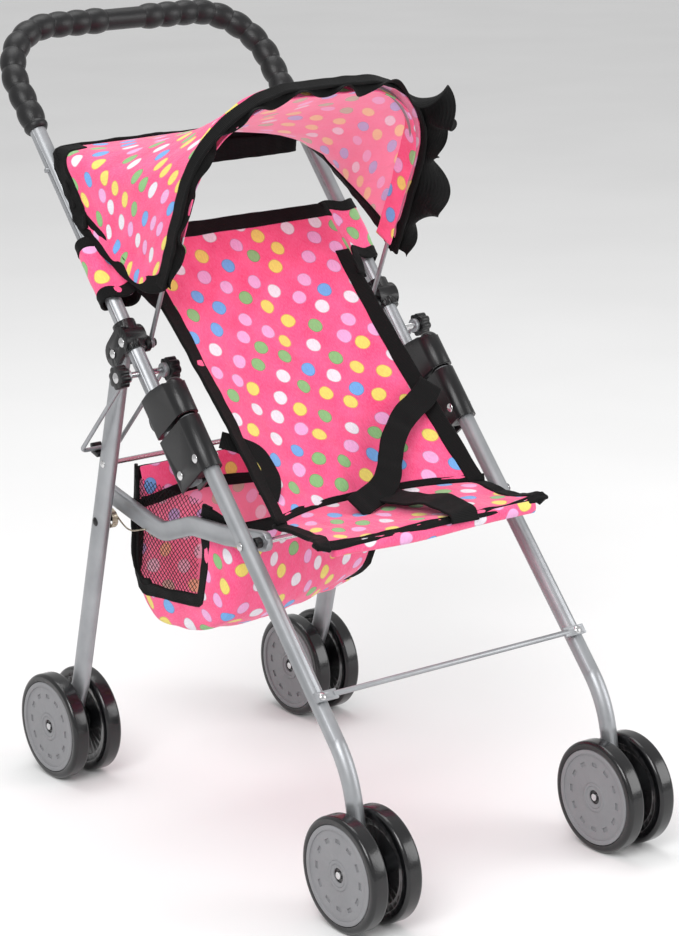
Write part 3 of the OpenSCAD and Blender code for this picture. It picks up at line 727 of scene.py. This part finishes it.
def arch(grow, low, n):
    """Even points along the canopy's front outline, [x, up], from the right foot to the left foot."""
    half = 98.0 + grow
    up = REACH + grow
    corner = ARCH_R + grow - 8.0
    line = rounded([[-half, low, 0], [-half, up, 0], [half, up, 0], [half, low, 0]], corner, 2.0)
    return resample(line, n)[:, :2]


COLS = 81
front_edge = [on_bow(x, up, 3.0) for x, up in arch(GROW, LOW, COLS)]
rear_edge = resample(rounded([[-115.0, 118.0, 432.0], [-115.0, 152.0, 481.0], [101.0, 152.0, 481.0],
                              [103.0, 141.0, 466.0]], 9.0, 2.0), COLS)
N_CANOPY = 34
canopy_rows = []
for t in np.linspace(0, 1, N_CANOPY):
    row = []
    for j, (a, b) in enumerate(zip(front_edge, rear_edge)):
        u = 2 * j / (COLS - 1) - 1
        p = a * (1 - t) + b * t
        top = max(0.0, 1 - abs(u) ** 3)
        p = p + np.array([0, 0, -9.0 * math.sin(math.pi * t) * top])
        p[2] -= (15.0 if u < 0 else -6.0) * math.sin(math.pi * t ** 0.75) * abs(u) ** 9
        p[0] += -u * 5.0 * math.sin(math.pi * t) * (1 - top) * (abs(u) < 0.95)
        row.append(p)
    canopy_rows.append(row)
canopy_rows = wrinkled(canopy_rows, 2.4, (34.0, 60.0, 34.0), 9.4,
                       lambda i, j: min(i / 5, 1) * min((N_CANOPY - 1 - i) / 4 + 0.3, 1))
canopy = cloth("canopy_cloth", canopy_rows, FABRIC, FABRIC_BACK_PAINTED_GLOW, 1.2)
rows = np.array(canopy_rows)
flap = [[x, 152.5 + 1.5 * math.sin(x / 14.0), 464.5] for x in np.linspace(-101, 101, 60)]
hem = [q + np.array([0, 1.5, -5.0]) for q in resample(rows[-1][4:-4], 80)]
canopy_bindings = join("canopy_binding", [
    edge_tape("c1", rows[:, 0], rows[:, 3], 13.0, 51.0, 3.2),
    edge_tape("c2", rows[:, -1], rows[:, -4], 11.0, 52.0, 2.8),
    edge_tape("c3", rows[-1][:22], rows[-3][:22], 13.0, 53.0, 3.2),
    edge_tape("c4", rows[-1][-14:], rows[-3][-14:], 11.0, 54.0, 2.8),
    tape("c6", hem, facing_one_way([0, 0.1, -1.0], 80), 15.0, TAPE, 2.8, 1.4, 56.0),
    tape("c5", flap, facing_one_way([0, 0.12, -1.0], 60), 17.0, TAPE, 2.6, 1.2, 55.0)])
CANOPY_BODIES = "handle_frame", "canopy_bow"
CANOPY_TURN = (0, 0.150, 0.470), (0, -0.020, 0.533)
bend(canopy, "dotted_fabric", CANOPY_BODIES, CANOPY_TURN, "canopy_cover")
bend(canopy_bindings, "black_binding", CANOPY_BODIES, CANOPY_TURN)

# ---- gathered black frill in front of the bow ----

FRILL_COLS = 220
outline = arch(GROW + 1.0, LOW + 2.0, FRILL_COLS)
frill_rows = []
for v in np.linspace(0, 1, 12):
    row = []
    for j in range(FRILL_COLS):
        q = outline[j]
        before, after = outline[max(j - 1, 0)], outline[min(j + 1, FRILL_COLS - 1)]
        along_edge = unit(after - before)
        out = np.array([-along_edge[1], along_edge[0]])
        u = 2 * j / (FRILL_COLS - 1) - 1
        spread = 0.5 + 0.5 * math.tanh((u - 0.30) * 5)
        lobe = 0.5 + 0.5 * math.sin(j * 0.17 + 3.1 * noise.noise(Vector((j * 0.02, 9.0, 0))))
        wide = 9.0 + 3.0 * lobe + (7.0 + 13.0 * lobe) * spread
        fold = math.sin(j * 0.34 + 3.4 * noise.noise(Vector((j * 0.03, 4.0, 0))))
        fold += 0.8 * noise.noise(Vector((j * 0.11, v * 1.5, 2.0)))
        lift = math.radians(-30 + 84 * spread) + fold * math.radians(24 + 16 * spread) * v
        ahead = wide * v * math.cos(lift)
        away = wide * v * math.sin(lift) + 1.2 * v * fold
        x, up = q + out * away
        row.append(on_bow(x, up, 1.0 + ahead))
    frill_rows.append(row)
frill = cloth("canopy_frill_cloth", frill_rows, TAPE, None, 0.9)
put(frill, "canopy_bow", "black_binding", "canopy_frill")
forward = facing_one_way([0.0, *BOW_AHEAD], 160)
casing_line = [on_bow(x, up, 3.0) for x, up in arch(GROW + 0.8, LOW, 160)]
casing = tape("canopy_bow_casing", casing_line, forward, 11.0, TAPE, 2.6, 0.8, 61.0)
put(casing, "canopy_bow", "black_binding")
turned = [on_bow(x, up, -2.5) for x, up in arch(GROW - 6.6, LOW + 8.0, 160)]
pocket = tape("canopy_wire_pocket", turned, forward, 18.0, FABRIC, 1.4, 0.9, 63.0)
put(pocket, "canopy_bow", "dotted_fabric")

# ---- basket ----

BAG = [(92, 252), (96, 205), (95, 162), (72, 140), (24, 144), (-18, 166), (-30, 205), (-34, 236)]
MOUTH = [(89, 249), (92, 205), (89, 168), (68, 168), (22, 172), (13, 176), (6, 205), (2, 243)]
N_BAG = 46
bag_line = spline([(0, *p) for p in BAG], N_BAG)
mouth_line = spline([(0, *p) for p in MOUTH], N_BAG)


def pulled(p):
    """The bag's front hangs further back towards the doll's left."""
    front = np.clip((70.0 - p[1]) / 60.0, 0, 1)
    far_side = np.clip((p[0] + 60.0) / 150.0, 0, 1)
    return p + np.array([-22.0, 46.0, -2.0]) * far_side * front


bag_rows = []
for i in range(N_BAG):
    row = []
    sagging = math.sin(math.pi * i / (N_BAG - 1))
    for u in np.linspace(-1, 1, 49):
        side = math.copysign(1, u)
        a = abs(u)
        if a <= 0.72:
            x = side * 90.0 * a / 0.72
            p = bag_line[i] + np.array([x, 0, -5.0 * sagging * (1 - (a / 0.72) ** 2)])
        else:
            k = (a - 0.72) / 0.28
            p = bag_line[i] * (1 - k) + mouth_line[i] * k
            p = p + np.array([side * (90.0 + 3.0 * math.sin(math.pi * k / 2)), 0, 0])
        row.append(pulled(p))
    bag_rows.append(row)
bag_rows = wrinkled(bag_rows, 2.6, (30.0, 34.0, 34.0), 12.9,
                    lambda i, j: min(i / 4, (N_BAG - 1 - i) / 4, 1))
basket = cloth("basket_cloth", bag_rows, FABRIC, FABRIC_BACK_PAINTED_GLOW, 1.2)
put(basket, "rear_frame", "dotted_fabric", "basket")
rows = np.array(bag_rows)
basket_bindings = join("basket_binding", [
    edge_tape("k1", rows[:, 0], rows[:, 3], 10.0, 71.0, 2.8),
    edge_tape("k2", rows[:, -1], rows[:, -4], 10.0, 72.0, 2.8),
    edge_tape("k3", rows[0], rows[2], 10.0, 73.0, 2.8),
    edge_tape("k4", rows[-1], rows[-3], 10.0, 74.0, 2.8),
    tape("k5", rows[:, 0][4:20], facing_one_way([-0.2, 0, 1.0], 16), 10.0, TAPE, 2.4, 0.5, 75.0),
    tape("k6", rows[27:42, 41], facing_one_way([1.0, -0.4, 0], 15), 9.0, TAPE, 2.4, 0.5, 76.0)])
put(basket_bindings, "rear_frame", "black_binding")

flap_rows = []
for v in np.linspace(0, 1, 10):
    flap_rows.append([[x, 90.5 - 4.0 * v - 2.0 * math.sin(math.pi * v) + 1.6 * math.sin(x / 11.0) * v,
                       253.0 - (27.0 + 3.0 * math.sin(x / 23.0)) * v] for x in np.linspace(90, -90, 60)])
flap_cloth = cloth("basket_flap", flap_rows, FABRIC, None, 1.2)
flap_binding = edge_tape("basket_flap_binding", flap_rows[-1], flap_rows[-3], 9.0, 77.0, 2.6)
put(flap_cloth, "rear_frame", "dotted_fabric")
put(flap_binding, "rear_frame", "black_binding")

strands = []
for side in (LEFT, RIGHT):
    low_back, low_front, top_back, top_front = np.array([(90, 166), (14, 173), (90, 246), (4, 246)], float)

    def on_net(a, b):
        """The point of this side's net at a, from back to front, and b, from bottom to top."""
        y, z = (low_back * (1 - a) + low_front * a) * (1 - b) + (top_back * (1 - a) + top_front * a) * b
        belly = math.sin(math.pi * a) * math.sin(math.pi * b)
        wave = noise.noise(Vector((a * 3, b * 3, side)))
        return pulled(np.array([side * (93.0 + 2.0 * belly + 1.2 * wave), y, z]))

    count = 17
    for k in range(-count + 1, count):
        for lean in (1, -1):
            pts = []
            for t in np.linspace(0, 1, 24):
                a = k / count + t if lean > 0 else 1 - (k / count + t)
                if -0.001 <= a <= 1.001:
                    pts.append(on_net(a, t))
            if len(pts) > 2:
                strands.append(sweep("strand", pts, circle(0.26, 4), NET, caps=False))
net = join("basket_net", strands)
put(net, "rear_frame", "black_binding")

# ---- floor, light and camera ----

FLOOR_SIZE = 60.0
bpy.ops.mesh.primitive_grid_add(x_subdivisions=4, y_subdivisions=4, size=FLOOR_SIZE)
floor = bpy.context.object
floor.name = "floor"
ground = Finish("floor_paper")
at = ground.coords("Object")
ground.set("Base Color", ground.ramp(ground.noise(at, 3.0, 2.0), [(0.3, 0.84), (0.7, 0.87)]))
ground.set("Roughness", ground.between(ground.noise(at, 90.0), 0.85, 0.95))
floor.data.materials.append(ground.material)

world = bpy.data.worlds.new("studio")
world.use_nodes = True
world.node_tree.nodes["Background"].inputs["Color"].default_value = (1, 1, 1, 1)
world.node_tree.nodes["Background"].inputs["Strength"].default_value = 0.66
bpy.context.scene.world = world


def softbox(name, place, target, size, power):
    data = bpy.data.lights.new(name, "AREA")
    data.shape = "RECTANGLE"
    data.size, data.size_y = size
    data.energy = power
    lamp = bpy.data.objects.new(name, data)
    lamp.location = place
    lamp.rotation_euler = (Vector(target) - Vector(place)).to_track_quat("-Z", "Y").to_euler()
    bpy.context.scene.collection.objects.link(lamp)


softbox("key", (-1.6, -1.3, 1.9), (0, 0, 0.25), (1.3, 1.3), 39)
softbox("fill", (1.5, -1.6, 1.0), (0, 0, 0.25), (1.2, 1.2), 17)
softbox("top", (0.1, 0.5, 2.2), (0, 0, 0.3), (1.6, 1.2), 16)

lens = bpy.data.cameras.new("camera")
lens.lens = 113.6
lens.sensor_width = 36.0
lens.shift_x, lens.shift_y = 0.0081, 0.0071
eye = bpy.data.objects.new("camera", lens)
azimuth, elevation, roll_angle = math.radians(-36.29), math.radians(15.23), math.radians(-0.92)
back = Vector((math.sin(azimuth) * math.cos(elevation), -math.cos(azimuth) * math.cos(elevation),
               math.sin(elevation)))
right = Vector((math.cos(azimuth), math.sin(azimuth), 0))
upward = back.cross(right)
c, s = math.cos(roll_angle), math.sin(roll_angle)
right, upward = c * right + s * upward, -s * right + c * upward
basis = Matrix((right, upward, back)).transposed().to_4x4()
eye.matrix_world = Matrix.Translation((-1.2076, -1.6686, 0.8104)) @ basis
bpy.context.scene.collection.objects.link(eye)
bpy.context.scene.camera = eye
bpy.context.scene.view_settings.view_transform = "Standard"
